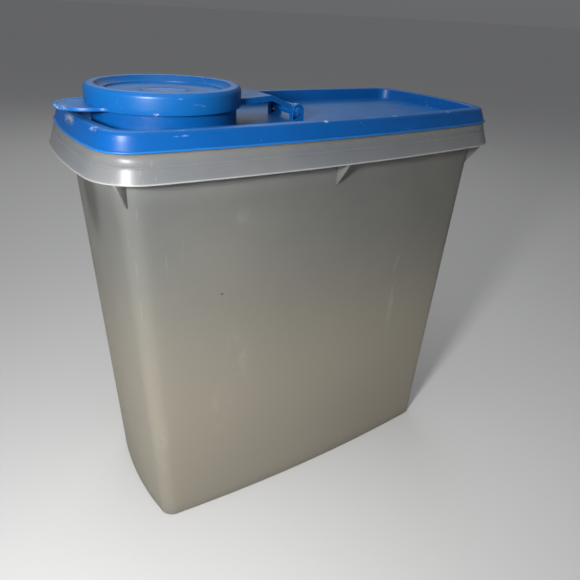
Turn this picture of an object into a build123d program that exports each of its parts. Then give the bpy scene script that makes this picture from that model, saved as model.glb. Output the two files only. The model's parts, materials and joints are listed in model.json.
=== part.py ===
from build123d import *
from math import atan, cos, degrees, radians, sin
import os

# A tall dry-food keeper with a pouring lid, in millimetres. Three moulded pieces: an open tub with a
# skirted rim, a lid that snaps over the rim, and a round cap that swings open on the lid.
# +Z is up, +X is the long axis (the pouring neck is at -X), and the origin is the middle of the base.

os.makedirs("parts", exist_ok=True)

# ---- The shared outline: a rectangle whose sides bow outwards, with round corners ----
rim_length = 240.0  # corner to corner along X, at the lid's lip
rim_width = 102.0  # corner to corner along Y
long_bow = 6.7  # how far a long side stands out beyond its corners
short_bow = 5.4
rim_corner = 18.0

# ---- Tub ----
base_length = 208.0
base_width = 84.0
base_long_bow = 5.0
base_short_bow = 4.4
base_corner = 8.0
foot_round = 1.6  # rounding of the bottom edge
foot_border = 6.0  # flat border that the tub stands on
foot_recess = 1.0  # the panel inside the border is raised by this much
tub_floor = 3.2
tub_wall = 1.6
tub_top = 237.4
wall_inset = -5.6  # from the lip's outline to the wall's outside, at the top
bead_height = 5.0  # thicker band at the top of the wall, which the lid grips
bead_thickness = 1.1

# ---- Skirt around the tub's rim ----
skirt_low = 218.6
skirt_high = 226.2
skirt_length = 246.7
skirt_width = 110.7
skirt_corner = 26.0
skirt_flare = 2.5  # the skirt widens by this much on each side, top to bottom
skirt_step = 0.3  # small ledge where the shoulder meets the skirt
skirt_thickness = 1.5
shoulder_high = 230.9
shoulder_inset = -1.6  # from the lip's outline
gusset_thickness = 1.3
gusset_high = 226.6
gusset_drop = 14.0  # how far a gusset runs down the wall below the skirt

# ---- Lid ----
lip_low = 231.2
lip_thickness = 0.9
lip_step = 0.9  # the lip stands out from the lid's wall by this much
lid_top = 239.6
lid_wall = 1.4
lid_draft = 1.9  # the outer wall leans in by this much over its height
rim_round = 2.2
tray_inset = -8.9  # from the lip's outline to the tray's wall
tray_round = 1.6
lid_floor_top = 232.0
lid_floor_low = 230.7
channel_gap = 0.35  # running clearance on the inside of the tub's rim

# ---- Pouring neck ----
neck_x = -74.8
neck_radius = 36.2
neck_wall = 1.4
neck_top = 250.0
neck_fillet = 1.0

# ---- Cap ----
cap_radius = 38.6
cap_wall = 1.3
cap_low = 242.8
cap_top = 252.6
cap_roof = 1.5
recess_top_radius = 33.0
recess_low_radius = 29.6
recess_floor_top = 248.7
recess_floor_low = 247.5
ring_radius = 11.0
ring_width = 0.9
ring_height = 0.5

# ---- Pull tab ----
tab_x = -112.0  # centre of the tab's round lobe
tab_radius = 16.3
tab_blend = 6.0  # hollow rounding where the lobe meets the cap
tab_thickness = 1.2
tab_border = 1.8
tab_lip = 0.5

# ---- Cap hinge: a cross pin on the cap's strap turns in two arched clips on the lid ----
hinge_x = -2.0
hinge_z = 237.8
pin_radius = 2.2
pin_clearance = 0.1
pin_half_length = 14.2
clip_radius = 3.7
clip_inner_y = 10.0
clip_outer_y = 13.8
clip_base_z = 234.8  # the arch opens downwards to here, over a solid foot
clip_mouth = 2.6  # width of the opening under the pin
clip_leg = 1.1  # width of each leg where the arch opens
strap_top = 246.5
strap_thickness = 1.6
strap_side = 3.0  # depth of the strap's turned-down edges
strap_flat_end_x = -19.0
strap_end_z = 240.3  # height of the strap's top at its lower end
strap_end_gap = 1.0  # the strap's plate stops this far short of the pin's axis
strap_root_x = -44.0
strap_root_half_width = 21.2
strap_tip_x = -6.5
strap_tip_half_width = 9.6
barrel_radius = 2.9


def outline(height, length, width, bow_long, bow_short, corner):
    """A level rectangle whose sides bow outwards, with round corners."""
    x, y = length / 2, width / 2
    with BuildSketch(Plane.XY.offset(height)) as profile:
        with BuildLine():
            ThreePointArc((-x, -y), (0, -y - bow_long), (x, -y))
            ThreePointArc((x, -y), (x + bow_short, 0), (x, y))
            ThreePointArc((x, y), (0, y + bow_long), (-x, y))
            ThreePointArc((-x, y), (-x - bow_short, 0), (-x, -y))
        make_face()
        fillet(profile.vertices(), corner)
    return profile.sketch


def rim(height, grow):
    """The lip's outline moved outwards by grow (negative is inwards)."""
    size = (rim_length + 2 * grow, rim_width + 2 * grow)
    return outline(height, *size, long_bow, short_bow, rim_corner + grow)


def wall(height, grow=0.0):
    """The tub wall's outside at this height, moved outwards by grow."""
    share = height / tub_top
    length = base_length + share * (rim_length + 2 * wall_inset - base_length) + 2 * grow
    width = base_width + share * (rim_width + 2 * wall_inset - base_width) + 2 * grow
    bow_long = base_long_bow + share * (long_bow - base_long_bow)
    bow_short = base_short_bow + share * (short_bow - base_short_bow)
    corner = base_corner + share * (rim_corner + wall_inset - base_corner) + grow
    return outline(height, length, width, bow_long, bow_short, corner)


def skirt(height, grow):
    """The skirt's lower outline moved outwards by grow."""
    size = (skirt_length + 2 * grow, skirt_width + 2 * grow)
    return outline(height, *size, long_bow, short_bow, skirt_corner + grow)


def quarter(start, end, steps=4):
    """Points of a quarter ellipse from start to end, level at the start and upright at the end."""
    turns = [90 * step / steps for step in range(steps + 1)]
    across = [start[0] + (end[0] - start[0]) * sin(radians(turn)) for turn in turns]
    up = [end[1] + (start[1] - end[1]) * cos(radians(turn)) for turn in turns]
    return list(zip(across, up))


def on_neck(radius, height):
    """A test for the edges of a circle of this radius and height around the neck's axis."""
    return lambda edge: (
        edge.geom_type == GeomType.CIRCLE
        and abs(edge.radius - radius) < 0.01
        and abs(edge.arc_center.X - neck_x) < 0.01
        and abs(edge.arc_center.Z - height) < 0.01
    )


def corner_tip(length, width, corner):
    """The outermost point of an outline's corner, and the direction in which it points."""
    lean_long = 2 * atan(2 * long_bow / length)
    lean_short = 2 * atan(2 * short_bow / width)
    turn = radians(45) + (lean_short - lean_long) / 2
    setback = corner * (1 / sin(radians(45) + (lean_long + lean_short) / 2) - 1)
    return length / 2 - setback * cos(turn), width / 2 - setback * sin(turn), turn


# ---- The tub's skirt: a shoulder under the lid's lip, then a band hanging clear of the wall ----
shoulder_start = (rim_length / 2 + shoulder_inset, shoulder_high)
shoulder_end = (skirt_length / 2 - skirt_flare - skirt_step, skirt_high)
shoulder_widths = (rim_width / 2 + shoulder_inset, skirt_width / 2 - skirt_flare - skirt_step)


def shoulder(shrink):
    """Outlines of the rounded shoulder, from low to high, all moved inwards and down by shrink."""
    sections = []
    for x, z in reversed(quarter(shoulder_start, shoulder_end)):
        share = (x - shoulder_start[0]) / (shoulder_end[0] - shoulder_start[0])
        y = shoulder_widths[0] + share * (shoulder_widths[1] - shoulder_widths[0])
        corner = rim_corner + share * (skirt_corner - skirt_flare - rim_corner)
        size = (2 * (x - shrink), 2 * (y - shrink))
        sections.append(outline(z - shrink, *size, long_bow, short_bow, corner - shrink))
    return sections


with BuildPart() as skirt_hollow:
    loft([skirt(skirt_low, -skirt_thickness)] + shoulder(skirt_thickness), ruled=True)

with BuildPart() as tub:
    loft([skirt(skirt_low, 0), skirt(skirt_high, -skirt_flare)], ruled=True)
    loft(shoulder(0), ruled=True)
    add(skirt_hollow.part, mode=Mode.SUBTRACT)

    # Webs between the skirt and the wall: one halfway along each long side, one at each corner
    wall_share = skirt_low / tub_top
    wall_length = base_length + wall_share * (rim_length + 2 * wall_inset - base_length)
    wall_width = base_width + wall_share * (rim_width + 2 * wall_inset - base_width)
    skirt_x, skirt_y, corner_turn = corner_tip(skirt_length, skirt_width, skirt_corner)
    wall_x, wall_y, _ = corner_tip(wall_length, wall_width, rim_corner + wall_inset)
    corner_gap = (skirt_x - wall_x) * cos(corner_turn) + (skirt_y - wall_y) * sin(corner_turn)
    long_gap = (skirt_width - wall_width) / 2
    places = [((0, side * (skirt_width / 2 + long_bow)), 90 * side, long_gap) for side in (1, -1)]
    for side_x in (1, -1):
        for side_y in (1, -1):
            turn = degrees(corner_turn) * side_x * side_y + (0 if side_x > 0 else 180)
            places.append(((side_x * skirt_x, side_y * skirt_y), turn, corner_gap))
    for (x, y), turn, gap in places:
        across = Vector(1, 0).rotate(Axis.Z, turn)
        web_plane = Plane(origin=(x, y, 0), x_dir=across, z_dir=across.rotate(Axis.Z, -90))
        with BuildSketch(web_plane):
            with BuildLine():
                Polyline(
                    (-skirt_thickness / 2, skirt_low),
                    (-skirt_thickness - skirt_flare, gusset_high),
                    (-gap - tub_wall / 2, gusset_high),
                    (-gap - tub_wall / 2, skirt_low - gusset_drop),
                    close=True,
                )
            make_face()
        extrude(amount=gusset_thickness / 2, both=True)

    # Wall, from the rounded foot to the top edge, with the bead that the lid grips
    foot = [wall(z, across) for across, z in quarter((-foot_round, 0), (0, foot_round))]
    bead = [
        wall(tub_top - bead_height, 0),
        wall(tub_top - bead_height + bead_thickness, bead_thickness),
        wall(tub_top - bead_thickness, bead_thickness),
        wall(tub_top, 0),
    ]
    loft(foot + bead, ruled=True)

    # Hollow, and the raised panel underneath
    inside_round = foot_round + tub_wall
    floor_start, floor_end = (-inside_round - tub_wall, tub_floor), (-tub_wall, tub_floor + inside_round)
    bowl = [wall(z, across) for across, z in quarter(floor_start, floor_end)]
    loft(bowl + [wall(tub_top, -tub_wall)], ruled=True, mode=Mode.SUBTRACT)
    panel = [wall(0, -foot_border), wall(foot_recess, -foot_border - foot_recess)]
    loft(panel, ruled=True, mode=Mode.SUBTRACT)
tub.part.label = "tub"
export_step(tub.part, "parts/tub.step")

# ---- Lid: a tray with a channel round its edge for the tub's rim, a neck and two hinge clips ----
outer_edge = -lip_step - lid_draft
inner_line = wall_inset - tub_wall - channel_gap
wall_lean = (rim_length + 2 * wall_inset - base_length) / 2 / tub_top
tray_foot = tray_inset - tray_round
edge_round = tray_round / 2

with BuildPart() as lid:
    extrude(rim(lip_low, 0), amount=lip_thickness)
    crown = [
        rim(z, across)
        for across, z in quarter((outer_edge - rim_round, lid_top), (outer_edge, lid_top - rim_round))
    ]
    loft([rim(lip_low, -lip_step)] + crown[::-1], ruled=True)

    # Channel for the tub's rim: everything under the rim is cut away, then the tray's body is put back
    channel = [
        rim(lip_low, -lip_step - lid_wall),
        rim(lid_top - rim_round, outer_edge - lid_wall),
        rim(lid_top - lid_wall, outer_edge - rim_round),
    ]
    loft(channel, ruled=True, mode=Mode.SUBTRACT)
    body_heights = (lid_floor_low, lid_top - lid_wall / 2)
    loft([rim(z, inner_line - wall_lean * (tub_top - z)) for z in body_heights], ruled=True)

    # Tray: a rounded foot, a wall and a rounded top edge
    tray = [
        rim(z, across)
        for across, z in quarter((tray_foot, lid_floor_top), (tray_inset, lid_floor_top + tray_round))
    ]
    for turn in (0, 30, 60, 90):
        up, across = sin(radians(turn)), 1 - cos(radians(turn))
        tray.append(rim(lid_top - edge_round * (1 - up), tray_inset + edge_round * across))
    loft(tray, ruled=True, mode=Mode.SUBTRACT)

    # Pouring neck: a round tube standing on the tray and open through its floor
    with BuildSketch(Plane.XY.offset(lid_floor_low)):
        with Locations((neck_x, 0)):
            Circle(neck_radius)
    extrude(amount=neck_top - lid_floor_low)
    with BuildSketch(Plane.XY.offset(lid_floor_low)):
        with Locations((neck_x, 0)):
            Circle(neck_radius - neck_wall)
    extrude(amount=neck_top - lid_floor_low, mode=Mode.SUBTRACT)
    fillet(lid.edges().filter_by(on_neck(neck_radius, lid_floor_top)), neck_fillet)
    fillet(lid.edges().filter_by(on_neck(neck_radius, neck_top)), neck_wall / 3)
    fillet(lid.edges().filter_by(on_neck(neck_radius - neck_wall, neck_top)), neck_wall / 3)

    # Two arched clips that hold the cap's pin
    clip_foot = (lid_floor_low + lid_floor_top) / 2
    for clip_start in (clip_inner_y, -clip_outer_y):
        with BuildSketch(Plane.XZ.offset(-clip_start)):
            with Locations((hinge_x, hinge_z)):
                Circle(clip_radius)
            with Locations((hinge_x, (hinge_z + clip_foot) / 2)):
                Rectangle(2 * clip_radius, hinge_z - clip_foot)
            with Locations((hinge_x, hinge_z)):
                Circle(pin_radius + pin_clearance, mode=Mode.SUBTRACT)
            with BuildLine():
                Polyline(
                    (hinge_x - clip_mouth / 2, hinge_z),
                    (hinge_x + clip_mouth / 2, hinge_z),
                    (hinge_x + clip_radius - clip_leg, clip_base_z),
                    (hinge_x - clip_radius + clip_leg, clip_base_z),
                    close=True,
                )
            make_face(mode=Mode.SUBTRACT)
        extrude(amount=clip_inner_y - clip_outer_y)
lid.part.label = "lid"
export_step(lid.part, "parts/lid.step")

# ---- Cap: a dished disc whose hanging rim straddles the neck, with a pull tab and a hinge strap ----
cap_section = [
    (0, recess_floor_low),
    (recess_low_radius + cap_wall, recess_floor_low),
    (recess_top_radius + cap_wall, cap_top - cap_roof),
    (cap_radius - cap_wall, cap_top - cap_roof),
    (cap_radius - cap_wall, cap_low),
    (cap_radius, cap_low),
    (cap_radius, cap_top),
    (recess_top_radius, cap_top),
    (recess_low_radius, recess_floor_top),
    (ring_radius + ring_width, recess_floor_top),
    (ring_radius + ring_width / 2, recess_floor_top + ring_height),
    (ring_radius - ring_width / 2, recess_floor_top + ring_height),
    (ring_radius - ring_width, recess_floor_top),
    (0, recess_floor_top),
]
cap_rounds = {1: 0.8, 5: 0.3, 6: 2.5, 7: 0.9, 8: 1.0}  # corner of the section: radius


def strap_side_view(depth):
    """The strap's side view: level from the cap, then sloping down to the pin."""
    end_x = hinge_x - strap_end_gap
    with BuildSketch(Plane.XZ) as view:
        with BuildLine():
            Polyline(
                (strap_root_x, strap_top),
                (strap_flat_end_x, strap_top),
                (end_x, strap_end_z),
                (end_x, strap_end_z - depth),
                (strap_flat_end_x, strap_top - depth),
                (strap_root_x, strap_top - depth),
                close=True,
            )
        make_face()
    return view.sketch


def strap_plan(inset):
    """The strap seen from above, moved inwards by inset along both sides."""
    root, tip = strap_root_half_width - inset, strap_tip_half_width - inset
    end_x = hinge_x + barrel_radius
    with BuildSketch() as plan:
        with BuildLine():
            Polyline(
                (strap_root_x, -root),
                (strap_tip_x, -tip),
                (end_x, -tip),
                (end_x, tip),
                (strap_tip_x, tip),
                (strap_root_x, root),
                close=True,
            )
        make_face()
        with Locations((neck_x, 0)):
            Circle(cap_radius - cap_wall / 2, mode=Mode.SUBTRACT)
    return plan.sketch


def blend_arc(side):
    """The hollow arc from the cap's edge to the tab's lobe, on the +Y side (1) or the -Y side (-1)."""
    neck, lobe = Vector(neck_x, 0), Vector(tab_x, 0)
    apart = neck_x - tab_x
    from_neck, from_lobe = cap_radius + tab_blend, tab_radius + tab_blend
    along = (from_neck**2 - from_lobe**2 + apart**2) / (2 * apart)
    centre = Vector(neck_x - along, side * (from_neck**2 - along**2) ** 0.5)
    start = neck + (centre - neck) * (cap_radius / from_neck)
    end = lobe + (centre - lobe) * (tab_radius / from_lobe)
    middle = centre + ((start + end) / 2 - centre).normalized() * tab_blend
    return ThreePointArc(start, middle, end)


with BuildPart() as strap_hollow:
    extrude(strap_side_view(strap_side + strap_thickness), amount=strap_root_half_width, both=True)
    extrude(strap_side_view(strap_thickness), amount=strap_root_half_width, both=True, mode=Mode.SUBTRACT)
    extrude(strap_plan(strap_thickness), amount=cap_top, mode=Mode.INTERSECT)

with BuildPart() as strap:
    extrude(strap_side_view(strap_side), amount=strap_root_half_width, both=True)
    extrude(strap_plan(0), amount=cap_top, mode=Mode.INTERSECT)
    add(strap_hollow.part, mode=Mode.SUBTRACT)
    for radius, half_length in ((barrel_radius, strap_tip_half_width), (pin_radius, pin_half_length)):
        with BuildSketch(Plane.XZ):
            with Locations((hinge_x, hinge_z)):
                Circle(radius)
        extrude(amount=half_length, both=True)

with BuildPart() as cap:
    with BuildSketch(Plane(origin=(neck_x, 0, 0), x_dir=(1, 0, 0), z_dir=(0, -1, 0))) as section:
        with BuildLine():
            Polyline(*cap_section, close=True)
        make_face()
        for corner, radius in cap_rounds.items():
            fillet(section.vertices().sort_by_distance(cap_section[corner])[0], radius)
    revolve(axis=Axis((neck_x, 0, 0), (0, 0, 1)))
    add(strap.part)

    # Pull tab: a thin round lobe with a raised border, level with the bottom of the cap's rim
    with BuildSketch(Plane.XY.offset(cap_low)) as tab:
        with BuildLine():
            upper = blend_arc(1)
            lower = blend_arc(-1)
            ThreePointArc(upper @ 1, (tab_x - tab_radius, 0), lower @ 1)
            Line(upper @ 0, lower @ 0)
        make_face()
        with Locations((neck_x, 0)):
            Circle(cap_radius - cap_wall / 2, mode=Mode.SUBTRACT)
    extrude(amount=tab_thickness)
    with BuildSketch(Plane.XY.offset(cap_low + tab_thickness)):
        add(tab.sketch_local)
        with Locations((tab_x, 0)):
            Circle(tab_radius - tab_border, mode=Mode.SUBTRACT)
    extrude(amount=tab_lip)
cap.part.label = "cap"
export_step(cap.part, "parts/cap.step")
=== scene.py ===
import json
from math import acos, atan2, cos, pi, radians, sin, sqrt

import bmesh
import bpy
from mathutils import Matrix, Vector, noise


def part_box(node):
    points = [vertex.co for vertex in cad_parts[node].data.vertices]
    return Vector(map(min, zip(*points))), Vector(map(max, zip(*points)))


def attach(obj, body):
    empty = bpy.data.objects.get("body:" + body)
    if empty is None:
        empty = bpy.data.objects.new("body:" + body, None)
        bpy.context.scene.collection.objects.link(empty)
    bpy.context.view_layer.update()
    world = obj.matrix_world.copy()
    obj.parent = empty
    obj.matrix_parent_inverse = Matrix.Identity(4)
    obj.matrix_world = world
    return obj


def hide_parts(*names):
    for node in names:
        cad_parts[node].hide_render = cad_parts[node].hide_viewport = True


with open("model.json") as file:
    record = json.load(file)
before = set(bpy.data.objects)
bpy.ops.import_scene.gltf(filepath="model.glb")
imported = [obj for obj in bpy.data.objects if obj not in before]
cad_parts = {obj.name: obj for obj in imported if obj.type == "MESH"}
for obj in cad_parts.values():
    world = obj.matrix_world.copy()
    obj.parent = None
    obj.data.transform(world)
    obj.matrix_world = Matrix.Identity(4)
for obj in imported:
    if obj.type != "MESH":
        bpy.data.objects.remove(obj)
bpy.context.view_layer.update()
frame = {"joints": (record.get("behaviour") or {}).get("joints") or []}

# Lengths in this script are millimetres, in the CAD frame; MM turns them into Blender's metres.
MM = 0.001

# ---- Shape of the keeper: the same driving dimensions as the CAD model ----
lid_low, lid_high = [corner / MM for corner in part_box("lid")]
cap_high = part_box("cap")[1] / MM
tub_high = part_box("tub")[1] / MM
hinge = next(joint for joint in frame["joints"] if joint["name"] == "cap_hinge")
HINGE_X, _, HINGE_Z = [value / MM for value in hinge["pos_m"]]

# The shared outline: a rectangle, corner to corner, whose sides bow outwards
LONG_BOW, SHORT_BOW = 6.7, 5.4
RIM_LENGTH = 2 * (lid_high.x - SHORT_BOW)
RIM_WIDTH = 2 * (lid_high.y - LONG_BOW)
RIM_CORNER = 18.0
BASE_LENGTH, BASE_WIDTH, BASE_CORNER = 208.0, 84.0, 8.0
BASE_LONG_BOW, BASE_SHORT_BOW = 5.0, 4.4

# Tub
TUB_TOP = tub_high.z
TUB_WALL = 1.6
TUB_FLOOR = 3.2
WALL_INSET = -5.6  # from the lip's outline to the wall's outside, at the top
WALL_LEAN = 0.0438  # how far the wall leans in for each millimetre down
BEAD = 1.1
FOOT_ROUND = 1.6

# Skirt, shoulder and the webs behind them
SKIRT_LOW, SKIRT_HIGH = 218.6, 226.2
SKIRT_LENGTH = 2 * (tub_high.x - SHORT_BOW)
SKIRT_WIDTH = 2 * (tub_high.y - LONG_BOW)
SKIRT_CORNER = 26.0
SKIRT_FLARE = 2.5
SKIRT_STEP = 0.3
SKIRT_WALL = 1.5
SHOULDER_HIGH = 230.9
SHOULDER_INSET = -1.6
WEB_HALF, WEB_RISE, WEB_DROP = 0.6, 0.4, 14

# Lid
LIP_LOW = 231.2
LIP_HEIGHT = 0.9
LIP_STEP = 0.9
LID_TOP = 239.6
LID_WALL = 1.4
LID_LEAN = 1.9
CHANNEL_GAP = 0.35
RIM_ROUND = 2.2
TRAY_INSET = -8.9
TRAY_ROUND = 1.6
FLOOR_TOP, FLOOR_LOW = 232.0, lid_low.z
NECK_X = -74.8
NECK_RADIUS, NECK_WALL, NECK_TOP = 36.2, 1.4, lid_high.z
NECK_FILLET = 1.0

# Cap, with its dished top and raised ring
CAP_RADIUS, CAP_WALL = cap_high.y, 1.3
CAP_LOW, CAP_TOP, CAP_ROOF = 242.8, cap_high.z, 1.5
RECESS_TOP_RADIUS, RECESS_LOW_RADIUS = 33.0, 29.6
RECESS_FLOOR, RECESS_UNDER = 248.7, 247.5
RING_RADIUS = 11.0
CAP_SHOULDER, RECESS_LIP, RECESS_FILLET = 2.5, 0.9, 1.0

# Pull tab
TAB_X, TAB_RADIUS, TAB_BLEND = -112.0, 16.3, 6.0
TAB_THICKNESS, TAB_BORDER, TAB_LIP = 1.2, 1.8, 0.5

# Hinge: the pin, the clips that hold it and the strap that ends in it
PIN_RADIUS, PIN_HALF_LENGTH = 2.2, 14.2
PIN_GAP = 0.1
CLIP_RADIUS, CLIP_INNER_Y, CLIP_OUTER_Y = 3.7, 10.0, 13.8
CLIP_MOUTH, CLIP_BASE, CLIP_LEG = 2.6, 234.8, 1.1
STRAP_TOP, STRAP_PLATE, STRAP_SIDE = 246.5, 1.6, 3.0
STRAP_FLAT_END, STRAP_END_Z = -19.0, 240.3
STRAP_ROOT_X, STRAP_ROOT_HALF = -44.0, 21.2
STRAP_TIP_X, STRAP_TIP_HALF = -6.5, 9.6
BARREL_RADIUS = 2.9


# ---- Outlines and sections ----


def outline(length, width, long_bow, short_bow, corner, steps=(10, 12, 22)):
    """Points round a rectangle with bowed sides and round corners. The numbering is always the same."""
    long_radius = (length**2 / 4 + long_bow**2) / (2 * long_bow)
    short_radius = (width**2 / 4 + short_bow**2) / (2 * short_bow)
    long_centre = Vector((0, width / 2 + long_bow - long_radius))
    short_centre = Vector((length / 2 + short_bow - short_radius, 0))
    reach_long, reach_short = long_radius - corner, short_radius - corner
    between = short_centre - long_centre
    apart = between.length
    along = (reach_long**2 - reach_short**2 + apart**2) / (2 * apart)
    aside = sqrt(reach_long**2 - along**2)
    unit = between / apart
    fillet = long_centre + unit * along + Vector((unit.y, -unit.x)) * aside
    short_turn = atan2(fillet.y - short_centre.y, fillet.x - short_centre.x)
    long_turn = atan2(fillet.y - long_centre.y, fillet.x - long_centre.x)

    def arc(centre, radius, start, end, count):
        turns = [start + (end - start) * step / count for step in range(count)]
        return [(centre.x + radius * cos(turn), centre.y + radius * sin(turn)) for turn in turns]

    quarter = arc(short_centre, short_radius, 0, short_turn, steps[0])
    quarter += arc(fillet, corner, short_turn, long_turn, steps[1])
    quarter += arc(long_centre, long_radius, long_turn, pi / 2, steps[2])
    top = (0, width / 2 + long_bow)
    half = quarter + [top] + [(-x, y) for x, y in reversed(quarter[1:])]
    left = (-quarter[0][0], 0)
    return half + [left] + [(x, -y) for x, y in reversed(half[1:])]


def ring(points, height):
    return [Vector((x, y, height)) for x, y in points]


def rim(height, grow):
    """The lid's outline, moved outwards by grow."""
    size = (RIM_LENGTH + 2 * grow, RIM_WIDTH + 2 * grow)
    return ring(outline(*size, LONG_BOW, SHORT_BOW, RIM_CORNER + grow), height)


def wall(height, grow=0.0):
    """The outside of the tub's wall, moved outwards by grow."""
    share = height / TUB_TOP
    length = BASE_LENGTH + share * (RIM_LENGTH + 2 * WALL_INSET - BASE_LENGTH) + 2 * grow
    width = BASE_WIDTH + share * (RIM_WIDTH + 2 * WALL_INSET - BASE_WIDTH) + 2 * grow
    long_bow = BASE_LONG_BOW + share * (LONG_BOW - BASE_LONG_BOW)
    short_bow = BASE_SHORT_BOW + share * (SHORT_BOW - BASE_SHORT_BOW)
    corner = BASE_CORNER + share * (RIM_CORNER + WALL_INSET - BASE_CORNER) + grow
    return ring(outline(length, width, long_bow, short_bow, corner), height)


def skirt(height, grow):
    """The skirt's lower outline, moved outwards by grow."""
    size = (SKIRT_LENGTH + 2 * grow, SKIRT_WIDTH + 2 * grow)
    return ring(outline(*size, LONG_BOW, SHORT_BOW, SKIRT_CORNER + grow), height)


def band(drop, out=0.0):
    """The skirt's outline this far below its top, moved outwards by out."""
    share = 1 - drop / (SKIRT_HIGH - SKIRT_LOW)
    return skirt(SKIRT_HIGH - drop, out - SKIRT_FLARE * share)


def shoulder(share, height, shrink):
    """The outline part of the way from the shoulder's inner edge (0) to the skirt's top (1)."""
    inner = (RIM_LENGTH / 2 + SHOULDER_INSET, RIM_WIDTH / 2 + SHOULDER_INSET, RIM_CORNER)
    drop = SKIRT_FLARE + SKIRT_STEP
    outer = (SKIRT_LENGTH / 2 - drop, SKIRT_WIDTH / 2 - drop, SKIRT_CORNER - SKIRT_FLARE)
    x, y, corner = [a + share * (b - a) for a, b in zip(inner, outer)]
    size = (2 * (x - shrink), 2 * (y - shrink))
    return ring(outline(*size, LONG_BOW, SHORT_BOW, corner - shrink), height)


def bend(start, end, count=5):
    """Points of a quarter ellipse from start to end: level at the start, upright at the end."""
    turns = [pi / 2 * step / count for step in range(count + 1)]
    return [
        (start[0] + (end[0] - start[0]) * sin(turn), end[1] + (start[1] - end[1]) * cos(turn))
        for turn in turns
    ]


# ---- Meshes ----


def make_object(name, mesh, material, body, sharp=32):
    """Turns a bmesh in millimetres into a smooth-shaded piece that rides on a body."""
    bmesh.ops.recalc_face_normals(mesh, faces=mesh.faces)
    bmesh.ops.scale(mesh, vec=(MM, MM, MM), verts=mesh.verts)
    data = bpy.data.meshes.new(name)
    mesh.to_mesh(data)
    mesh.free()
    for polygon in data.polygons:
        polygon.use_smooth = True
    data.set_sharp_from_angle(angle=radians(sharp))
    data.materials.append(material)
    piece = bpy.data.objects.new(name, data)
    bpy.context.collection.objects.link(piece)
    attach(piece, body)
    return piece


def bridge(mesh, low, high, closed=True):
    """Four-sided faces between two rows of equal count; closed also joins their ends."""
    count = len(low)
    for i in range(count if closed else count - 1):
        j = (i + 1) % count
        mesh.faces.new((low[i], low[j], high[j], high[i]))


def add_skin(mesh, rings, loop=False):
    """Joins rings of equal count; loop also joins the last ring to the first."""
    rows = [[mesh.verts.new(point) for point in points] for points in rings]
    pairs = list(zip(rows, rows[1:]))
    if loop:
        pairs.append((rows[-1], rows[0]))
    for low, high in pairs:
        bridge(mesh, low, high)
    return rows


def close_ring(mesh, row, rings=5):
    """Fills a ring with smaller rings and a middle point, so that the face stays evenly shaded."""
    centre = sum((vert.co for vert in row), Vector()) / len(row)
    outer = row
    for step in range(1, rings):
        share = 1 - step / rings
        inner = [mesh.verts.new(centre + (vert.co - centre) * share) for vert in row]
        bridge(mesh, outer, inner)
        outer = inner
    middle = mesh.verts.new(centre)
    for i in range(len(outer)):
        mesh.faces.new((outer[i], outer[(i + 1) % len(outer)], middle))


def make_tub(material):
    """Wall, floor, bead, shoulder and skirt as one closed skin, from the underside round to the inside."""
    rings = [wall(1.0, -7.0), wall(0.6, -6.4), wall(0.0, -5.8), wall(0.0, -4.0)]
    rings += [wall(z, across) for across, z in bend((-FOOT_ROUND, 0), (0, FOOT_ROUND))]
    rings += [wall(z) for z in (12, 36, 60, 84, 108, 132, 156, 180, 200, 216, 226)]
    # Under the shoulder, out to the skirt, down its inside and back up its outside
    rings.append(wall(229.0, 0.1))
    rings.append(wall(229.5, 0.7))
    for turn in (15, 35, 55, 75, 90):
        share = sin(radians(turn))
        drop = (SHOULDER_HIGH - SKIRT_HIGH) * (1 - cos(radians(turn)))
        rings.append(shoulder(share, SHOULDER_HIGH - SKIRT_WALL - drop, SKIRT_WALL))
    rings += [
        band(3, -SKIRT_WALL),
        band(SKIRT_HIGH - SKIRT_LOW - 3, -SKIRT_WALL),
        skirt(SKIRT_LOW + 0.6, -SKIRT_WALL),
        skirt(SKIRT_LOW + 0.15, -SKIRT_WALL + 0.15),
        skirt(SKIRT_LOW, -SKIRT_WALL + 0.5),
        skirt(SKIRT_LOW, -0.45),
        skirt(SKIRT_LOW + 0.12, -0.14),
        skirt(SKIRT_LOW + 0.45, 0),
        band(4),
        band(2.6),
        band(1.1),
        band(0.8, 0.2),
        band(0.4, 0.2),
        band(0.1),
        band(0, -SKIRT_STEP + 0.1),
    ]
    for turn in (90, 76, 62, 48, 34, 20, 8, 0):
        share = sin(radians(turn))
        drop = (SHOULDER_HIGH - SKIRT_HIGH - 0.15) * (1 - cos(radians(turn)))
        rings.append(shoulder(share, SHOULDER_HIGH - drop, 0))
    # Bead, top edge, inside of the wall and the floor
    rings += [wall(231.2, BEAD * 0.9), wall(231.8, BEAD), wall(TUB_TOP - BEAD, BEAD)]
    rings += [wall(TUB_TOP - 0.35, BEAD * 0.7), wall(TUB_TOP, BEAD * 0.2), wall(TUB_TOP, -TUB_WALL + 0.4)]
    rings += [wall(TUB_TOP - 0.4, -TUB_WALL), wall(220, -TUB_WALL)]
    rings += [wall(z, -TUB_WALL) for z in (190, 160, 130, 100, 70, 40, 18)]
    inside = FOOT_ROUND + TUB_WALL
    floor_bend = bend((-TUB_WALL - inside, TUB_FLOOR), (-TUB_WALL, TUB_FLOOR + inside))
    rings += [wall(z, across) for across, z in reversed(floor_bend)]
    mesh = bmesh.new()
    rows = add_skin(mesh, rings)
    close_ring(mesh, rows[0])
    close_ring(mesh, rows[-1])
    piece = make_object("tub_shell", mesh, material, "tub")
    return piece


def web_places():
    """For each web: its place on the skirt's outside, the way out from the wall, and the gap it spans."""
    wall_points, skirt_points = wall(SKIRT_LOW), skirt(SKIRT_LOW, 0)
    count = len(wall_points)
    quarter, corner = count // 4, 16
    numbers = (quarter, 3 * quarter, corner, 2 * quarter - corner, 2 * quarter + corner, count - corner)
    places = []
    for i in numbers:
        across = skirt_points[i] - wall_points[i]
        places.append((skirt_points[i], across.normalized(), across.length))
    return places


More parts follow.
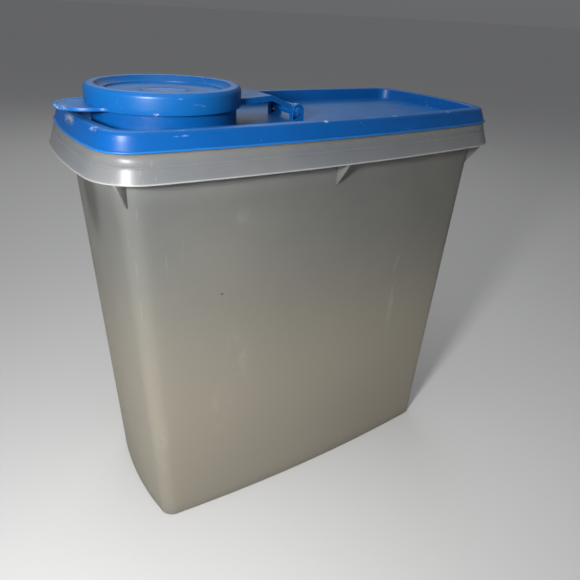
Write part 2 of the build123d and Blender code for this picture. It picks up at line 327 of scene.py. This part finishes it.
def make_webs(material):
    """Six thin webs that tie the skirt to the wall."""
    mesh = bmesh.new()
    for outside, out, gap in web_places():
        side = Vector((-out.y, out.x, 0)) * WEB_HALF
        high = Vector((0, 0, SKIRT_HIGH - SKIRT_LOW + WEB_RISE))
        profile = [
            outside - out * (SKIRT_WALL * 0.6) + Vector((0, 0, 0.1)),
            outside - out * (SKIRT_WALL + SKIRT_FLARE) + high,
            outside - out * (gap + TUB_WALL * 0.6) + high,
            outside - out * (gap + TUB_WALL * 0.5) - Vector((0, 0, WEB_DROP)),
        ]
        left = [mesh.verts.new(point + side) for point in profile]
        right = [mesh.verts.new(point - side) for point in profile]
        mesh.faces.new(left)
        mesh.faces.new(right[::-1])
        bridge(mesh, left, right)
    bmesh.ops.bevel(mesh, geom=mesh.edges, offset=0.25, segments=2, affect="EDGES", profile=0.5)
    piece = make_object("tub_webs", mesh, material, "tub")
    return piece


def neck_ring(points, radius, height):
    """A circle round the neck whose points face the matching points of an outline."""
    turns = [atan2(point.y, point.x - NECK_X) for point in points]
    return [Vector((NECK_X + radius * cos(turn), radius * sin(turn), height)) for turn in turns]


def blend_rings(start, end, count):
    """Rings between two rings, spread evenly."""
    return [
        [a.lerp(b, step / (count + 1)) for a, b in zip(start, end)] for step in range(1, count + 1)
    ]


def make_lid(material):
    """Lip, wall, crowned rim, tray, neck, and the channel underneath, as one closed skin."""
    outer = -LIP_STEP - LID_LEAN
    inner_line = WALL_INSET - TUB_WALL - CHANNEL_GAP
    low_line = inner_line - WALL_LEAN * (TUB_TOP - FLOOR_LOW)
    rings = [
        rim(LIP_LOW + 0.05, -LIP_STEP - LID_WALL),
        rim(LIP_LOW, -LIP_STEP - LID_WALL + 0.3),
        rim(LIP_LOW, -0.25),
        rim(LIP_LOW + 0.1, -0.05),
        rim(LIP_LOW + 0.3, 0),
        rim(LIP_LOW + LIP_HEIGHT - 0.3, 0),
        rim(LIP_LOW + LIP_HEIGHT - 0.08, -0.08),
        rim(LIP_LOW + LIP_HEIGHT, -0.3),
        rim(LIP_LOW + LIP_HEIGHT + 0.05, -LIP_STEP + 0.1),
        rim(LIP_LOW + LIP_HEIGHT + 0.4, -LIP_STEP - 0.1),
        rim((LIP_LOW + LID_TOP) / 2, -LIP_STEP - LID_LEAN * 0.5),
    ]
    crown = bend((outer - RIM_ROUND, LID_TOP), (outer, LID_TOP - RIM_ROUND), 7)
    rings += [rim(z, across) for across, z in reversed(crown)]
    edge = TRAY_ROUND / 2
    for turn in (90, 60, 30, 0):
        up, across = sin(radians(turn)), 1 - cos(radians(turn))
        rings.append(rim(LID_TOP - edge * (1 - up), TRAY_INSET + edge * across))
    foot = bend((TRAY_INSET - TRAY_ROUND, FLOOR_TOP), (TRAY_INSET, FLOOR_TOP + TRAY_ROUND))
    rings += [rim(z, across) for across, z in reversed(foot)]
    tray_edge = rings[-1]
    neck_foot = bend((NECK_RADIUS + NECK_FILLET, FLOOR_TOP), (NECK_RADIUS, FLOOR_TOP + NECK_FILLET), 4)
    first = neck_ring(tray_edge, neck_foot[0][0], FLOOR_TOP)
    rings += blend_rings(tray_edge, first, 9)
    rings += [neck_ring(tray_edge, radius, z) for radius, z in neck_foot]
    rings += [neck_ring(tray_edge, NECK_RADIUS, z) for z in (238, 243, NECK_TOP - 0.5)]
    rings += [
        neck_ring(tray_edge, NECK_RADIUS - 0.15, NECK_TOP - 0.12),
        neck_ring(tray_edge, NECK_RADIUS - 0.5, NECK_TOP),
        neck_ring(tray_edge, NECK_RADIUS - NECK_WALL + 0.5, NECK_TOP),
        neck_ring(tray_edge, NECK_RADIUS - NECK_WALL + 0.12, NECK_TOP - 0.15),
        neck_ring(tray_edge, NECK_RADIUS - NECK_WALL, NECK_TOP - 0.5),
    ]
    rings += [neck_ring(tray_edge, NECK_RADIUS - NECK_WALL, z) for z in (243, 236, FLOOR_LOW + 0.3)]
    under_edge = rim(FLOOR_LOW, low_line - 0.3)
    last = neck_ring(tray_edge, NECK_RADIUS - NECK_WALL + 0.3, FLOOR_LOW)
    rings.append(last)
    rings += blend_rings(last, under_edge, 9)
    rings.append(under_edge)
    rings.append(rim(FLOOR_LOW + 0.3, low_line))
    roof = LID_TOP - LID_WALL
    rings += [
        rim(roof - 0.4, inner_line),
        rim(roof, inner_line + 0.4),
        rim(roof, outer - RIM_ROUND),
        rim(LID_TOP - RIM_ROUND, outer - LID_WALL),
    ]
    mesh = bmesh.new()
    add_skin(mesh, rings, loop=True)
    # The rim isn't quite level, as on any thin moulding
    for vert in mesh.verts:
        if vert.co.z > FLOOR_TOP + 5 and abs(vert.co.x - NECK_X) + abs(vert.co.y) > 60:
            vert.co.z += 0.12 * noise.noise(vert.co / 38)
    piece = make_object("lid_shell", mesh, material, "lid")
    return piece


def make_clips(material):
    """Two arched clips: a bore for the pin and a mouth that opens downwards over a solid foot."""
    mesh = bmesh.new()
    bore = PIN_RADIUS + PIN_GAP
    floor = (FLOOR_LOW + FLOOR_TOP) / 2
    arch = [radians(turn) for turn in range(0, 181, 15)]
    gap = acos(CLIP_MOUTH / 2 / bore)
    bore_turns = [-gap + (pi + 2 * gap) * step / 20 for step in range(21)]
    outside = [(HINGE_X + CLIP_RADIUS * cos(turn), HINGE_Z + CLIP_RADIUS * sin(turn)) for turn in arch]
    inside = [(HINGE_X + bore * cos(turn), HINGE_Z + bore * sin(turn)) for turn in bore_turns]
    foot_half = CLIP_RADIUS - CLIP_LEG
    profile = outside + [(HINGE_X - CLIP_RADIUS, floor), (HINGE_X + CLIP_RADIUS, floor)]
    opening = [(HINGE_X + foot_half, CLIP_BASE)] + inside + [(HINGE_X - foot_half, CLIP_BASE)]
    for start, end in ((-CLIP_OUTER_Y, -CLIP_INNER_Y), (CLIP_INNER_Y, CLIP_OUTER_Y)):
        add_pierced(mesh, profile, opening, start, end)
    piece = make_object("hinge_clips", mesh, material, "lid", sharp=40)
    add_bevel(piece, 0.3)
    return piece


def add_pierced(mesh, profile, opening, start_y, end_y):
    """A plate with one opening: both sides are filled between the two outlines."""
    for loop in (profile, opening):
        front = [mesh.verts.new((x, start_y, z)) for x, z in loop]
        back = [mesh.verts.new((x, end_y, z)) for x, z in loop]
        bridge(mesh, front, back)
    for y in (start_y, end_y):
        open_edges = [edge for edge in mesh.edges if edge.is_boundary]
        side = [edge for edge in open_edges if all(abs(vert.co.y - y) < 0.001 for vert in edge.verts)]
        bmesh.ops.triangle_fill(mesh, edges=side, use_beauty=True)


def add_bevel(piece, width):
    bevel = piece.modifiers.new("rounded edges", "BEVEL")
    bevel.width = width * MM
    bevel.segments = 3
    bevel.limit_method = "ANGLE"
    bevel.angle_limit = radians(40)
    bevel.harden_normals = True


def make_cap(material):
    """The cap's disc and rim, turned about the neck's axis."""
    roof = CAP_TOP - CAP_ROOF
    section = [(0.4, RECESS_UNDER)]
    section += [(radius, RECESS_UNDER) for radius in (8, 16, 24, RECESS_LOW_RADIUS + CAP_WALL - 0.8)]
    section += [
        (RECESS_LOW_RADIUS + CAP_WALL - 0.2, RECESS_UNDER + 0.2),
        (RECESS_LOW_RADIUS + CAP_WALL, RECESS_UNDER + 0.8),
        (RECESS_TOP_RADIUS + CAP_WALL - 0.1, roof - 0.4),
        (RECESS_TOP_RADIUS + CAP_WALL + 0.3, roof),
        (CAP_RADIUS - CAP_WALL - 0.4, roof),
        (CAP_RADIUS - CAP_WALL, roof - 0.4),
        (CAP_RADIUS - CAP_WALL, CAP_LOW + 0.3),
        (CAP_RADIUS - CAP_WALL + 0.3, CAP_LOW),
        (CAP_RADIUS - 0.3, CAP_LOW),
        (CAP_RADIUS - 0.08, CAP_LOW + 0.08),
        (CAP_RADIUS, CAP_LOW + 0.35),
        (CAP_RADIUS, CAP_LOW + 3),
    ]
    section += bend((CAP_RADIUS - CAP_SHOULDER, CAP_TOP), (CAP_RADIUS, CAP_TOP - CAP_SHOULDER), 8)[::-1]
    for turn in (90, 65, 40, 15):
        up, across = sin(radians(turn)), cos(radians(turn))
        centre = RECESS_TOP_RADIUS + RECESS_LIP
        section.append((centre - RECESS_LIP * across, CAP_TOP - RECESS_LIP * (1 - up)))
    foot_start = (RECESS_LOW_RADIUS - RECESS_FILLET, RECESS_FLOOR)
    foot_end = (RECESS_LOW_RADIUS, RECESS_FLOOR + RECESS_FILLET)
    section += bend(foot_start, foot_end)[::-1]
    section += [(radius, RECESS_FLOOR) for radius in (26, 19)]
    half_ring = [(1.1, 0), (0.8, 0.1), (0.5, 0.42), (0.2, 0.5)]
    ring_profile = half_ring + [(-across, up) for across, up in reversed(half_ring)]
    section += [(RING_RADIUS + across, RECESS_FLOOR + up) for across, up in ring_profile]
    section += [(6, RECESS_FLOOR + 0.02), (0.4, RECESS_FLOOR + 0.02)]
    count = 144
    turns = [2 * pi * step / count for step in range(count)]
    rings = [
        [Vector((NECK_X + radius * cos(turn), radius * sin(turn), z)) for turn in turns]
        for radius, z in section
    ]
    mesh = bmesh.new()
    rows = add_skin(mesh, rings)
    mesh.faces.new(rows[0][::-1])
    mesh.faces.new(rows[-1])
    piece = make_object("cap_disc", mesh, material, "cap")
    return piece


def tab_outline(grow):
    """The tab's lobe and the hollow blends that run into the cap's edge, from +Y round to -Y."""
    radius, blend = TAB_RADIUS + grow, TAB_BLEND - grow
    cap_radius = CAP_RADIUS + grow
    apart = NECK_X - TAB_X
    from_neck, from_lobe = cap_radius + blend, radius + blend
    along = (from_neck**2 - from_lobe**2 + apart**2) / (2 * apart)
    centre = Vector((NECK_X - along, sqrt(from_neck**2 - along**2)))
    to_cap = Vector((NECK_X, 0)) - centre
    to_lobe = Vector((TAB_X, 0)) - centre
    start, end = atan2(to_cap.y, to_cap.x), atan2(to_lobe.y, to_lobe.x)
    count = 8
    upper = [
        (centre.x + blend * cos(turn), centre.y + blend * sin(turn))
        for turn in [start + (end - start) * step / count for step in range(count + 1)]
    ]
    lobe_start = atan2(upper[-1][1], upper[-1][0] - TAB_X)
    turns = [lobe_start + (2 * pi - 2 * lobe_start) * step / 36 for step in range(1, 36)]
    lobe = [(TAB_X + radius * cos(turn), radius * sin(turn)) for turn in turns]
    return upper + lobe + [(x, -y) for x, y in reversed(upper)]


def make_tab(material):
    """The pull tab: a thin lobe with a raised border, running into the cap's rim."""
    mesh = bmesh.new()
    low, high = CAP_LOW, CAP_LOW + TAB_THICKNESS
    edge = high + TAB_LIP
    # Each step: how far in from the tab's edge, and its height
    underside = [(0.0, low + 0.3), (-0.25, low), (-TAB_BORDER - 1, low)]
    topside = [
        (0.0, edge - 0.35), (-0.12, edge - 0.1), (-0.4, edge), (-TAB_BORDER + 0.4, edge),
        (-TAB_BORDER, edge - 0.15), (-TAB_BORDER - 0.35, high + 0.06), (-TAB_BORDER - 0.8, high),
    ]
    strips = [
        [[mesh.verts.new((x, y, z)) for x, y in tab_outline(grow)] for grow, z in steps]
        for steps in (underside, topside)
    ]
    inner_radius = CAP_RADIUS - CAP_WALL / 2

    def on_cap(point):
        """The nearest point on the middle of the cap's rim, where the tab ends inside the wall."""
        away = Vector((point.x - NECK_X, point.y)).normalized() * inner_radius
        return Vector((NECK_X + away.x, away.y, point.z))

    for strip in strips:
        for a, b in zip(strip, strip[1:]):
            bridge(mesh, a, b, closed=False)
    bridge(mesh, strips[0][0], strips[1][0], closed=False)
    # Fill the middle of the tab, on both sides, back to the cap's rim
    ends = []
    for strip in strips:
        back = [mesh.verts.new(on_cap(vert.co)) for vert in strip[-1]]
        bridge(mesh, strip[-1], back, closed=False)
        ends.append(back)
    bridge(mesh, ends[0], ends[1], closed=False)
    for side in (0, -1):
        column = [row[side] for row in reversed(strips[0])] + [row[side] for row in strips[1]]
        mesh.faces.new([ends[0][side]] + column + [ends[1][side]])
    piece = make_object("pull_tab", mesh, material, "cap")
    return piece


def strap_half(x):
    """Half the strap's width at x: tapering from the cap, then even round the pin."""
    share = (x - STRAP_ROOT_X) / (STRAP_TIP_X - STRAP_ROOT_X)
    return STRAP_ROOT_HALF + min(share, 1.0) * (STRAP_TIP_HALF - STRAP_ROOT_HALF)


def strap_line(depth):
    """Side view of the strap at this depth under its top: level, a soft crease, then a slope to the pin."""
    end = HINGE_X - 1
    fall = (STRAP_END_Z - STRAP_TOP) / (end - STRAP_FLAT_END)
    soft = 1.2
    points = [(x, STRAP_TOP - depth) for x in (-34.0, -28.0, STRAP_FLAT_END - soft)]
    for step in (-0.5, 0, 0.5, 1):
        dip = fall * soft * (step + 1) ** 2 / 4
        points.append((STRAP_FLAT_END + soft * step, STRAP_TOP + dip - depth))
    for share in (0.35, 0.7, 1):
        x = STRAP_FLAT_END + (end - STRAP_FLAT_END) * share
        points.append((x, STRAP_TOP + fall * (x - STRAP_FLAT_END) - depth))
    return points


def make_strap(material):
    """The tapering hinge strap with turned-down sides, its barrel and its cross pin."""
    mesh = bmesh.new()
    top, under, low = strap_line(0), strap_line(STRAP_PLATE), strap_line(STRAP_SIDE)
    rows = []
    for (x, high), (_, middle), (_, bottom) in zip(top, under, low):
        half = strap_half(x)
        section = [
            (-half, bottom), (-half, high - 0.35), (-half + 0.35, high), (0, high), (half - 0.35, high),
            (half, high - 0.35), (half, bottom), (half - STRAP_PLATE, bottom), (half - STRAP_PLATE, middle),
            (-half + STRAP_PLATE, middle), (-half + STRAP_PLATE, bottom),
        ]
        rows.append([Vector((x, y, z)) for y, z in section])
    # The root is a little wider and follows the cap's round wall
    root = []
    for y, z in [(point.y * 1.12, point.z) for point in rows[0]]:
        root.append(Vector((NECK_X + sqrt((CAP_RADIUS - CAP_WALL / 2) ** 2 - y**2), y, z)))
    rows.insert(0, root)
    made = add_skin(mesh, rows)
    mesh.faces.new(made[0][::-1])
    mesh.faces.new(made[-1])
    add_rod(mesh, BARREL_RADIUS, STRAP_TIP_HALF, 0.4)
    add_rod(mesh, PIN_RADIUS, PIN_HALF_LENGTH, 0.9)
    piece = make_object("hinge_strap", mesh, material, "cap")
    return piece


def add_rod(mesh, radius, half, taper):
    """A rod along Y about the hinge's axis, with rounded ends."""
    turns = [2 * pi * step / 32 for step in range(32)]
    ends = [(0, 0.95), (0.06, 0.6), (0.35, 0.2), (1, 0)]
    stations = [(-half + taper * along, radius - taper * off) for along, off in ends]
    stations += [(-y, r) for y, r in reversed(stations)]
    rings = [
        [Vector((HINGE_X + r * cos(turn), y, HINGE_Z + r * sin(turn))) for turn in turns]
        for y, r in stations
    ]
    rows = add_skin(mesh, rings)
    mesh.faces.new(rows[0][::-1])
    mesh.faces.new(rows[-1])


# ---- Materials ----


class Shader:
    """A few short calls that build a material's nodes."""

    def __init__(self, name):
        self.material = bpy.data.materials.new(name)
        self.material.use_nodes = True
        self.tree = self.material.node_tree
        self.surface = self.tree.nodes["Principled BSDF"]
        self.place = self.tree.nodes.new("ShaderNodeTexCoord").outputs["Object"]

    def link(self, source, target):
        self.tree.links.new(source, target)

    def feed(self, socket, value):
        if isinstance(value, bpy.types.NodeSocket):
            self.link(value, socket)
        else:
            socket.default_value = value

    def stretch(self, scale, turn=(0, 0, 0)):
        """The object's own coordinates, scaled per axis, so that noise can run in streaks."""
        mapping = self.tree.nodes.new("ShaderNodeMapping")
        mapping.inputs["Scale"].default_value = scale
        mapping.inputs["Rotation"].default_value = turn
        self.link(self.place, mapping.inputs["Vector"])
        return mapping.outputs["Vector"]

    def noise(self, scale, detail=4.0, rough=0.55, vector=None):
        texture = self.tree.nodes.new("ShaderNodeTexNoise")
        texture.inputs["Scale"].default_value = scale
        texture.inputs["Detail"].default_value = detail
        texture.inputs["Roughness"].default_value = rough
        self.link(vector or self.place, texture.inputs["Vector"])
        return texture.outputs["Fac"]

    def dots(self, scale):
        texture = self.tree.nodes.new("ShaderNodeTexVoronoi")
        texture.inputs["Scale"].default_value = scale
        self.link(self.place, texture.inputs["Vector"])
        return texture.outputs["Distance"]

    def span(self, value, low, high, to_low=0.0, to_high=1.0):
        """Maps a stretch of values to another, smoothly and clamped."""
        node = self.tree.nodes.new("ShaderNodeMapRange")
        node.interpolation_type = "SMOOTHSTEP"
        self.feed(node.inputs["Value"], value)
        for name, number in zip(("From Min", "From Max", "To Min", "To Max"), (low, high, to_low, to_high)):
            node.inputs[name].default_value = number
        return node.outputs["Result"]

    def math(self, operation, a, b):
        node = self.tree.nodes.new("ShaderNodeMath")
        node.operation = operation
        self.feed(node.inputs[0], a)
        self.feed(node.inputs[1], b)
        return node.outputs["Value"]

    def mix(self, share, a, b):
        node = self.tree.nodes.new("ShaderNodeMix")
        node.data_type = "RGBA"
        self.feed(node.inputs["Factor"], share)
        colours = [socket for socket in node.inputs if socket.type == "RGBA"]
        self.feed(colours[0], a)
        self.feed(colours[1], b)
        return [socket for socket in node.outputs if socket.type == "RGBA"][0]

    def axis(self, name):
        node = self.tree.nodes.new("ShaderNodeSeparateXYZ")
        self.link(self.place, node.inputs[0])
        return node.outputs[name]

    def patch(self, centre, size, soft=0.5):
        """1 inside an ellipsoid at centre (millimetres), fading to 0 at its edge."""
        scale = tuple(1 / (half * MM) for half in size)
        mapping = self.tree.nodes.new("ShaderNodeMapping")
        mapping.inputs["Scale"].default_value = scale
        mapping.inputs["Location"].default_value = tuple(-c * MM * s for c, s in zip(centre, scale))
        self.link(self.place, mapping.inputs["Vector"])
        length = self.tree.nodes.new("ShaderNodeVectorMath")
        length.operation = "LENGTH"
        self.link(mapping.outputs["Vector"], length.inputs[0])
        return self.span(length.outputs["Value"], 1.0, 1.0 - soft)

    def bump(self, heights):
        """Stacks bumps: each is (height socket, depth in millimetres)."""
        normal = None
        for height, depth in heights:
            node = self.tree.nodes.new("ShaderNodeBump")
            node.inputs["Distance"].default_value = depth * MM
            self.link(height, node.inputs["Height"])
            if normal:
                self.link(normal, node.inputs["Normal"])
            normal = node.outputs["Normal"]
        self.link(normal, self.surface.inputs["Normal"])

    def constant(self, name, value):
        self.surface.inputs[name].default_value = value

    def add_translucent(self, share, colour):
        """Lets light soak through from the far side, as thin cloudy plastic does."""
        through = self.tree.nodes.new("ShaderNodeBsdfTranslucent")
        self.link(colour, through.inputs["Color"])
        mixed = self.tree.nodes.new("ShaderNodeMixShader")
        mixed.inputs["Fac"].default_value = share
        self.link(self.surface.outputs["BSDF"], mixed.inputs[1])
        self.link(through.outputs["BSDF"], mixed.inputs[2])
        self.link(mixed.outputs["Shader"], self.tree.nodes["Material Output"].inputs["Surface"])


def frosted_material():
    """Cloudy polyethylene with rubbed places; cool grey under the rim and paler, warmer towards the foot,
    which is painted light: light through the blue lid and light bounced up from the table.
    """
    s = Shader("frosted_polyethylene")
    height = s.axis("Z")
    # Paler and warmer towards the foot: painted light, for light bounced up from the table.
    body = s.mix(s.span(height, 0.07, 0.215), (0.60, 0.56, 0.47, 1), (0.27, 0.28, 0.275, 1))
    # A lighter band just under the skirt: painted light that cancels the skirt's shadow on the wall.
    body = s.mix(s.span(height, 0.204, 0.217), body, (0.36, 0.37, 0.365, 1))
    # From the skirt upwards a cooler, bluer grey: painted light, for the blue lid's light coming through.
    body = s.mix(s.span(height, 0.2175, 0.219), body, (0.30, 0.32, 0.35, 1))
    # Warmer from just under the lid's lip upwards: painted reflection and see-through in the shoulder.
    body = s.mix(s.span(height, 0.2285, 0.2305), body, (0.33, 0.31, 0.28, 1))
    cloud = s.noise(11, 5, 0.6)
    body = s.mix(s.span(cloud, 0.35, 0.7, 0, 0.28), body, (0.56, 0.53, 0.46, 1))
    streaks = s.noise(1, 3, 0.5, s.stretch((500, 500, 38)))
    scratched = s.math("MULTIPLY", s.span(streaks, 0.64, 0.76), s.span(s.noise(14, 2, 0.5), 0.5, 0.62))
    body = s.mix(s.math("MULTIPLY", scratched, 0.25), body, (0.8, 0.78, 0.72, 1))
    blotch = s.span(s.noise(75, 5, 0.7, s.stretch((1.6, 1.6, 0.7))), 0.45, 0.62)
    for centre, size, strength in TUB_RUBS:
        rubbed = s.math("MULTIPLY", s.patch(centre, size, 0.9), blotch)
        body = s.mix(s.math("MULTIPLY", rubbed, strength), body, (0.9, 0.88, 0.82, 1))
    # A pale streak painted on the skirt over each web: painted see-through of the web behind it.
    for place, _, _ in web_places():
        web_show_through = s.patch(place + Vector((0, 0, 5)), (1.1, 1.1, 6.5), 0.6)
        body = s.mix(s.math("MULTIPLY", web_show_through, 0.3), body, (0.85, 0.86, 0.86, 1))
    # A dark patch painted on the left end wall: painted see-through of the dark backdrop, as the curved
    # corner shows it.
    painted_see_through = s.math("MULTIPLY", s.patch((-118, -5, 203), (9, 16, 30), 0.7), 0.6)
    body = s.mix(painted_see_through, body, (0.09, 0.09, 0.085, 1))
    body = s.mix(s.patch((-67.4, -48.0, 153.7), (1.1, 3, 0.9), 0.6), body, (0.03, 0.025, 0.02, 1))
    # A thin paler line along the skirt's lower edge: a painted highlight.
    edge = s.math("MULTIPLY", s.span(height, 0.2198, 0.2190), s.span(height, 0.2178, 0.2184))
    body = s.mix(s.math("MULTIPLY", edge, 0.7), body, (0.85, 0.86, 0.86, 1))
    s.link(body, s.surface.inputs["Base Color"])
    rough = s.span(s.noise(26, 4, 0.6), 0.3, 0.75, 0.36, 0.5)
    s.link(s.math("SUBTRACT", rough, s.span(height, 0.2175, 0.219, 0, 0.06)), s.surface.inputs["Roughness"])
    s.constant("Transmission Weight", 0.4)
    s.constant("IOR", 1.5)
    s.constant("Specular IOR Level", 0.5)
    s.bump([(s.noise(9, 3, 0.5), 0.5), (s.noise(900, 3, 0.6), 0.012), (scratched, 0.02)])
    s.add_translucent(0.45, s.mix(0.5, body, (0.78, 0.76, 0.70, 1)))
    return s.material


def blue_material(name, deep, light, top_light_tint, marks):
    """Blue polyethylene with small scuffs at the places given. Upward faces are painted paler, as painted
    light from above, and so is the lid's lip, as a painted highlight.
    """
    s = Shader(name)
    body = s.mix(s.span(s.noise(16, 4, 0.6), 0.3, 0.72), deep, light)
    specks = s.math("MULTIPLY", s.span(s.dots(260), 0.16, 0.05), s.span(s.noise(40, 2, 0.5), 0.52, 0.66))
    body = s.mix(s.math("MULTIPLY", specks, 0.35), body, (0.25, 0.36, 0.55, 1))
    streaks = s.noise(1, 3, 0.55, s.stretch((60, 900, 500), (0, 0, radians(24))))
    scratched = s.math("MULTIPLY", s.span(streaks, 0.66, 0.74), s.span(s.noise(22, 2, 0.5), 0.5, 0.6))
    body = s.mix(s.math("MULTIPLY", scratched, 0.3), body, (0.3, 0.5, 0.8, 1))
    # Upward faces are painted paler, broken up by noise: painted light from above.
    facing = s.tree.nodes.new("ShaderNodeNewGeometry").outputs["Normal"]
    upright = s.tree.nodes.new("ShaderNodeSeparateXYZ")
    s.link(facing, upright.inputs[0])
    top_light_breakup = s.span(s.noise(34, 5, 0.65), 0.3, 0.7, 0.25, 0.6)
    top_light_mask = s.math("MULTIPLY", s.span(upright.outputs["Z"], 0.75, 0.98), top_light_breakup)
    body = s.mix(top_light_mask, body, top_light_tint)
    # The lid's lip is painted paler along its edge: a painted highlight.
    lip = s.span(s.axis("Z"), (LIP_LOW + LIP_HEIGHT + 0.1) * MM, (LIP_LOW + LIP_HEIGHT - 0.2) * MM, 0, 0.6)
    body = s.mix(lip, body, top_light_tint)
    grain = s.span(s.noise(420, 3, 0.7), 0.42, 0.62)
    for centre, size, strength, tint in marks:
        rubbed = s.math("MULTIPLY", s.patch(centre, size, 0.7), grain)
        body = s.mix(s.math("MULTIPLY", rubbed, strength), body, tint)
    s.link(body, s.surface.inputs["Base Color"])
    s.link(s.span(s.noise(30, 4, 0.6), 0.3, 0.7, 0.33, 0.46), s.surface.inputs["Roughness"])
    s.constant("Specular IOR Level", 0.25)
    s.bump([(s.noise(14, 2, 0.5), 0.25), (s.noise(1100, 2, 0.6), 0.01), (scratched, 0.02)])
    return s.material


# Wear: where it is and its half sizes, in millimetres, and its strength; on the blue pieces also its colour
TUB_RUBS = [
    ((-55, -49, 195), (6, 6, 8), 0.35),
    ((-58, -47, 112), (11, 8, 30), 0.3),
    ((-68, -46, 75), (9, 8, 24), 0.35),
    ((58, -48, 120), (3.5, 6, 42), 0.35),
    ((56.5, -48, 147), (4, 6, 9), 0.4),
    ((-103, -42, 60), (5, 8, 30), 0.3),
]
WHITE_SCUFF = (0.62, 0.72, 0.85, 1)
DUST = (0.34, 0.33, 0.26, 1)
GRIME = (0.10, 0.15, 0.20, 1)
LID_MARKS = [
    ((-12, -53, 239.6), (1.8, 2, 1.2), 0.55, WHITE_SCUFF),
    ((35, -52, 239.6), (2.2, 2, 1.2), 0.5, WHITE_SCUFF),
    ((78, -50, 239.6), (2.0, 2, 1.2), 0.45, WHITE_SCUFF),
    ((-124, -1, 238.8), (4.5, 13, 4), 0.85, DUST),
    ((-124.5, 4, 238.6), (2, 4, 2), 0.5, WHITE_SCUFF),
    ((-120.5, -32.5, 239.4), (4, 5, 2), 0.35, WHITE_SCUFF),
    ((84, 18, 232), (40, 28, 3), 0.3, GRIME),
    ((20, 20, 232), (50, 26, 3), 0.15, GRIME),
]
CAP_MARKS = [
    ((-92, -34.5, 243.4), (1.8, 2, 0.9), 0.55, WHITE_SCUFF),
    ((-126, -4, 244), (5, 9, 2), 0.35, WHITE_SCUFF),
    ((-75, 0, 249), (8, 7, 2), 0.15, WHITE_SCUFF),
]


# ---- Stage, light and camera ----


def make_floor():
    """A plain pale table, wide enough to fill every view."""
    s = Shader("stage_floor")
    s.constant("Base Color", (0.62, 0.62, 0.615, 1))
    s.constant("Roughness", 0.6)
    reach = 60.0
    corners = [(-reach, -reach, 0), (reach, -reach, 0), (reach, reach, 0), (-reach, reach, 0)]
    data = bpy.data.meshes.new("stage_floor")
    data.from_pydata(corners, [], [(0, 1, 2, 3)])
    data.materials.append(s.material)
    floor = bpy.data.objects.new("stage_floor", data)
    bpy.context.collection.objects.link(floor)


def make_camera():
    """A phone-like camera close to the spout end, looking down along the long side."""
    heading, pitch, roll = radians(34.2), radians(27.41), radians(3.13)
    data = bpy.data.cameras.new("camera")
    data.lens, data.sensor_width = 33.48, 36.0
    data.clip_start = 0.01
    camera = bpy.data.objects.new("camera", data)
    camera.matrix_world = (
        Matrix.Translation((-0.1783, -0.2744, 0.2877))
        @ Matrix.Rotation(-heading, 4, "Z")
        @ Matrix.Rotation(radians(90) - pitch, 4, "X")
        @ Matrix.Rotation(roll, 4, "Z")
    )
    bpy.context.collection.objects.link(camera)
    bpy.context.scene.camera = camera


def make_light(name, place, aim, size, power):
    """A round soft light at a place, pointed at another; metres and watts."""
    data = bpy.data.lights.new(name, "AREA")
    data.shape, data.size, data.energy = "DISK", size, power
    light = bpy.data.objects.new(name, data)
    direction = Vector(aim) - Vector(place)
    turn = direction.to_track_quat("-Z", "Y").to_matrix().to_4x4()
    light.matrix_world = Matrix.Translation(place) @ turn
    bpy.context.collection.objects.link(light)


def make_world():
    """An even studio sky, a little darker at the horizon so that the floor runs into it."""
    world = bpy.data.worlds.new("studio")
    world.use_nodes = True
    tree = world.node_tree
    place = tree.nodes.new("ShaderNodeTexCoord")
    split = tree.nodes.new("ShaderNodeSeparateXYZ")
    rise = tree.nodes.new("ShaderNodeMapRange")
    rise.inputs["From Max"].default_value = 0.5
    rise.inputs["To Min"].default_value = 0.17
    rise.inputs["To Max"].default_value = 0.24
    tree.links.new(place.outputs["Generated"], split.inputs[0])
    tree.links.new(split.outputs["Z"], rise.inputs["Value"])
    tree.links.new(rise.outputs["Result"], tree.nodes["Background"].inputs["Strength"])
    tree.nodes["Background"].inputs["Color"].default_value = (0.80, 0.81, 0.84, 1)
    bpy.context.scene.world = world
    bpy.context.scene.view_settings.view_transform = "Standard"


frosted = frosted_material()
# The paler blue painted on upward faces and on the lid's lip: painted light.
TOP_LIGHT_BLUE = (0.02, 0.16, 0.46, 1)
lid_blue = blue_material(
    "lid_polyethylene", (0.0, 0.058, 0.225, 1), (0.001, 0.07, 0.265, 1), TOP_LIGHT_BLUE, LID_MARKS
)
cap_blue = blue_material(
    "cap_polyethylene", (0.001, 0.075, 0.26, 1), (0.003, 0.09, 0.3, 1), TOP_LIGHT_BLUE, CAP_MARKS
)

tub_shell = make_tub(frosted)
tub_webs = make_webs(frosted)
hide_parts("tub")
lid_shell = make_lid(lid_blue)
hinge_clips = make_clips(lid_blue)
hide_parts("lid")
cap_disc = make_cap(cap_blue)
pull_tab = make_tab(cap_blue)
hinge_strap = make_strap(cap_blue)
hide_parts("cap")

make_floor()
make_camera()
make_world()
make_light("key", (-0.295, -0.232, 0.315), (0.0, 0.0, 0.13), 0.06, 2.0)
make_light("overhead", (-0.15, -0.1, 1.1), (0.0, 0.0, 0.1), 0.9, 2.2)
make_light("rear_fill", (0.3, 0.8, 0.9), (0.0, 0.0, 0.12), 0.9, 2.4)
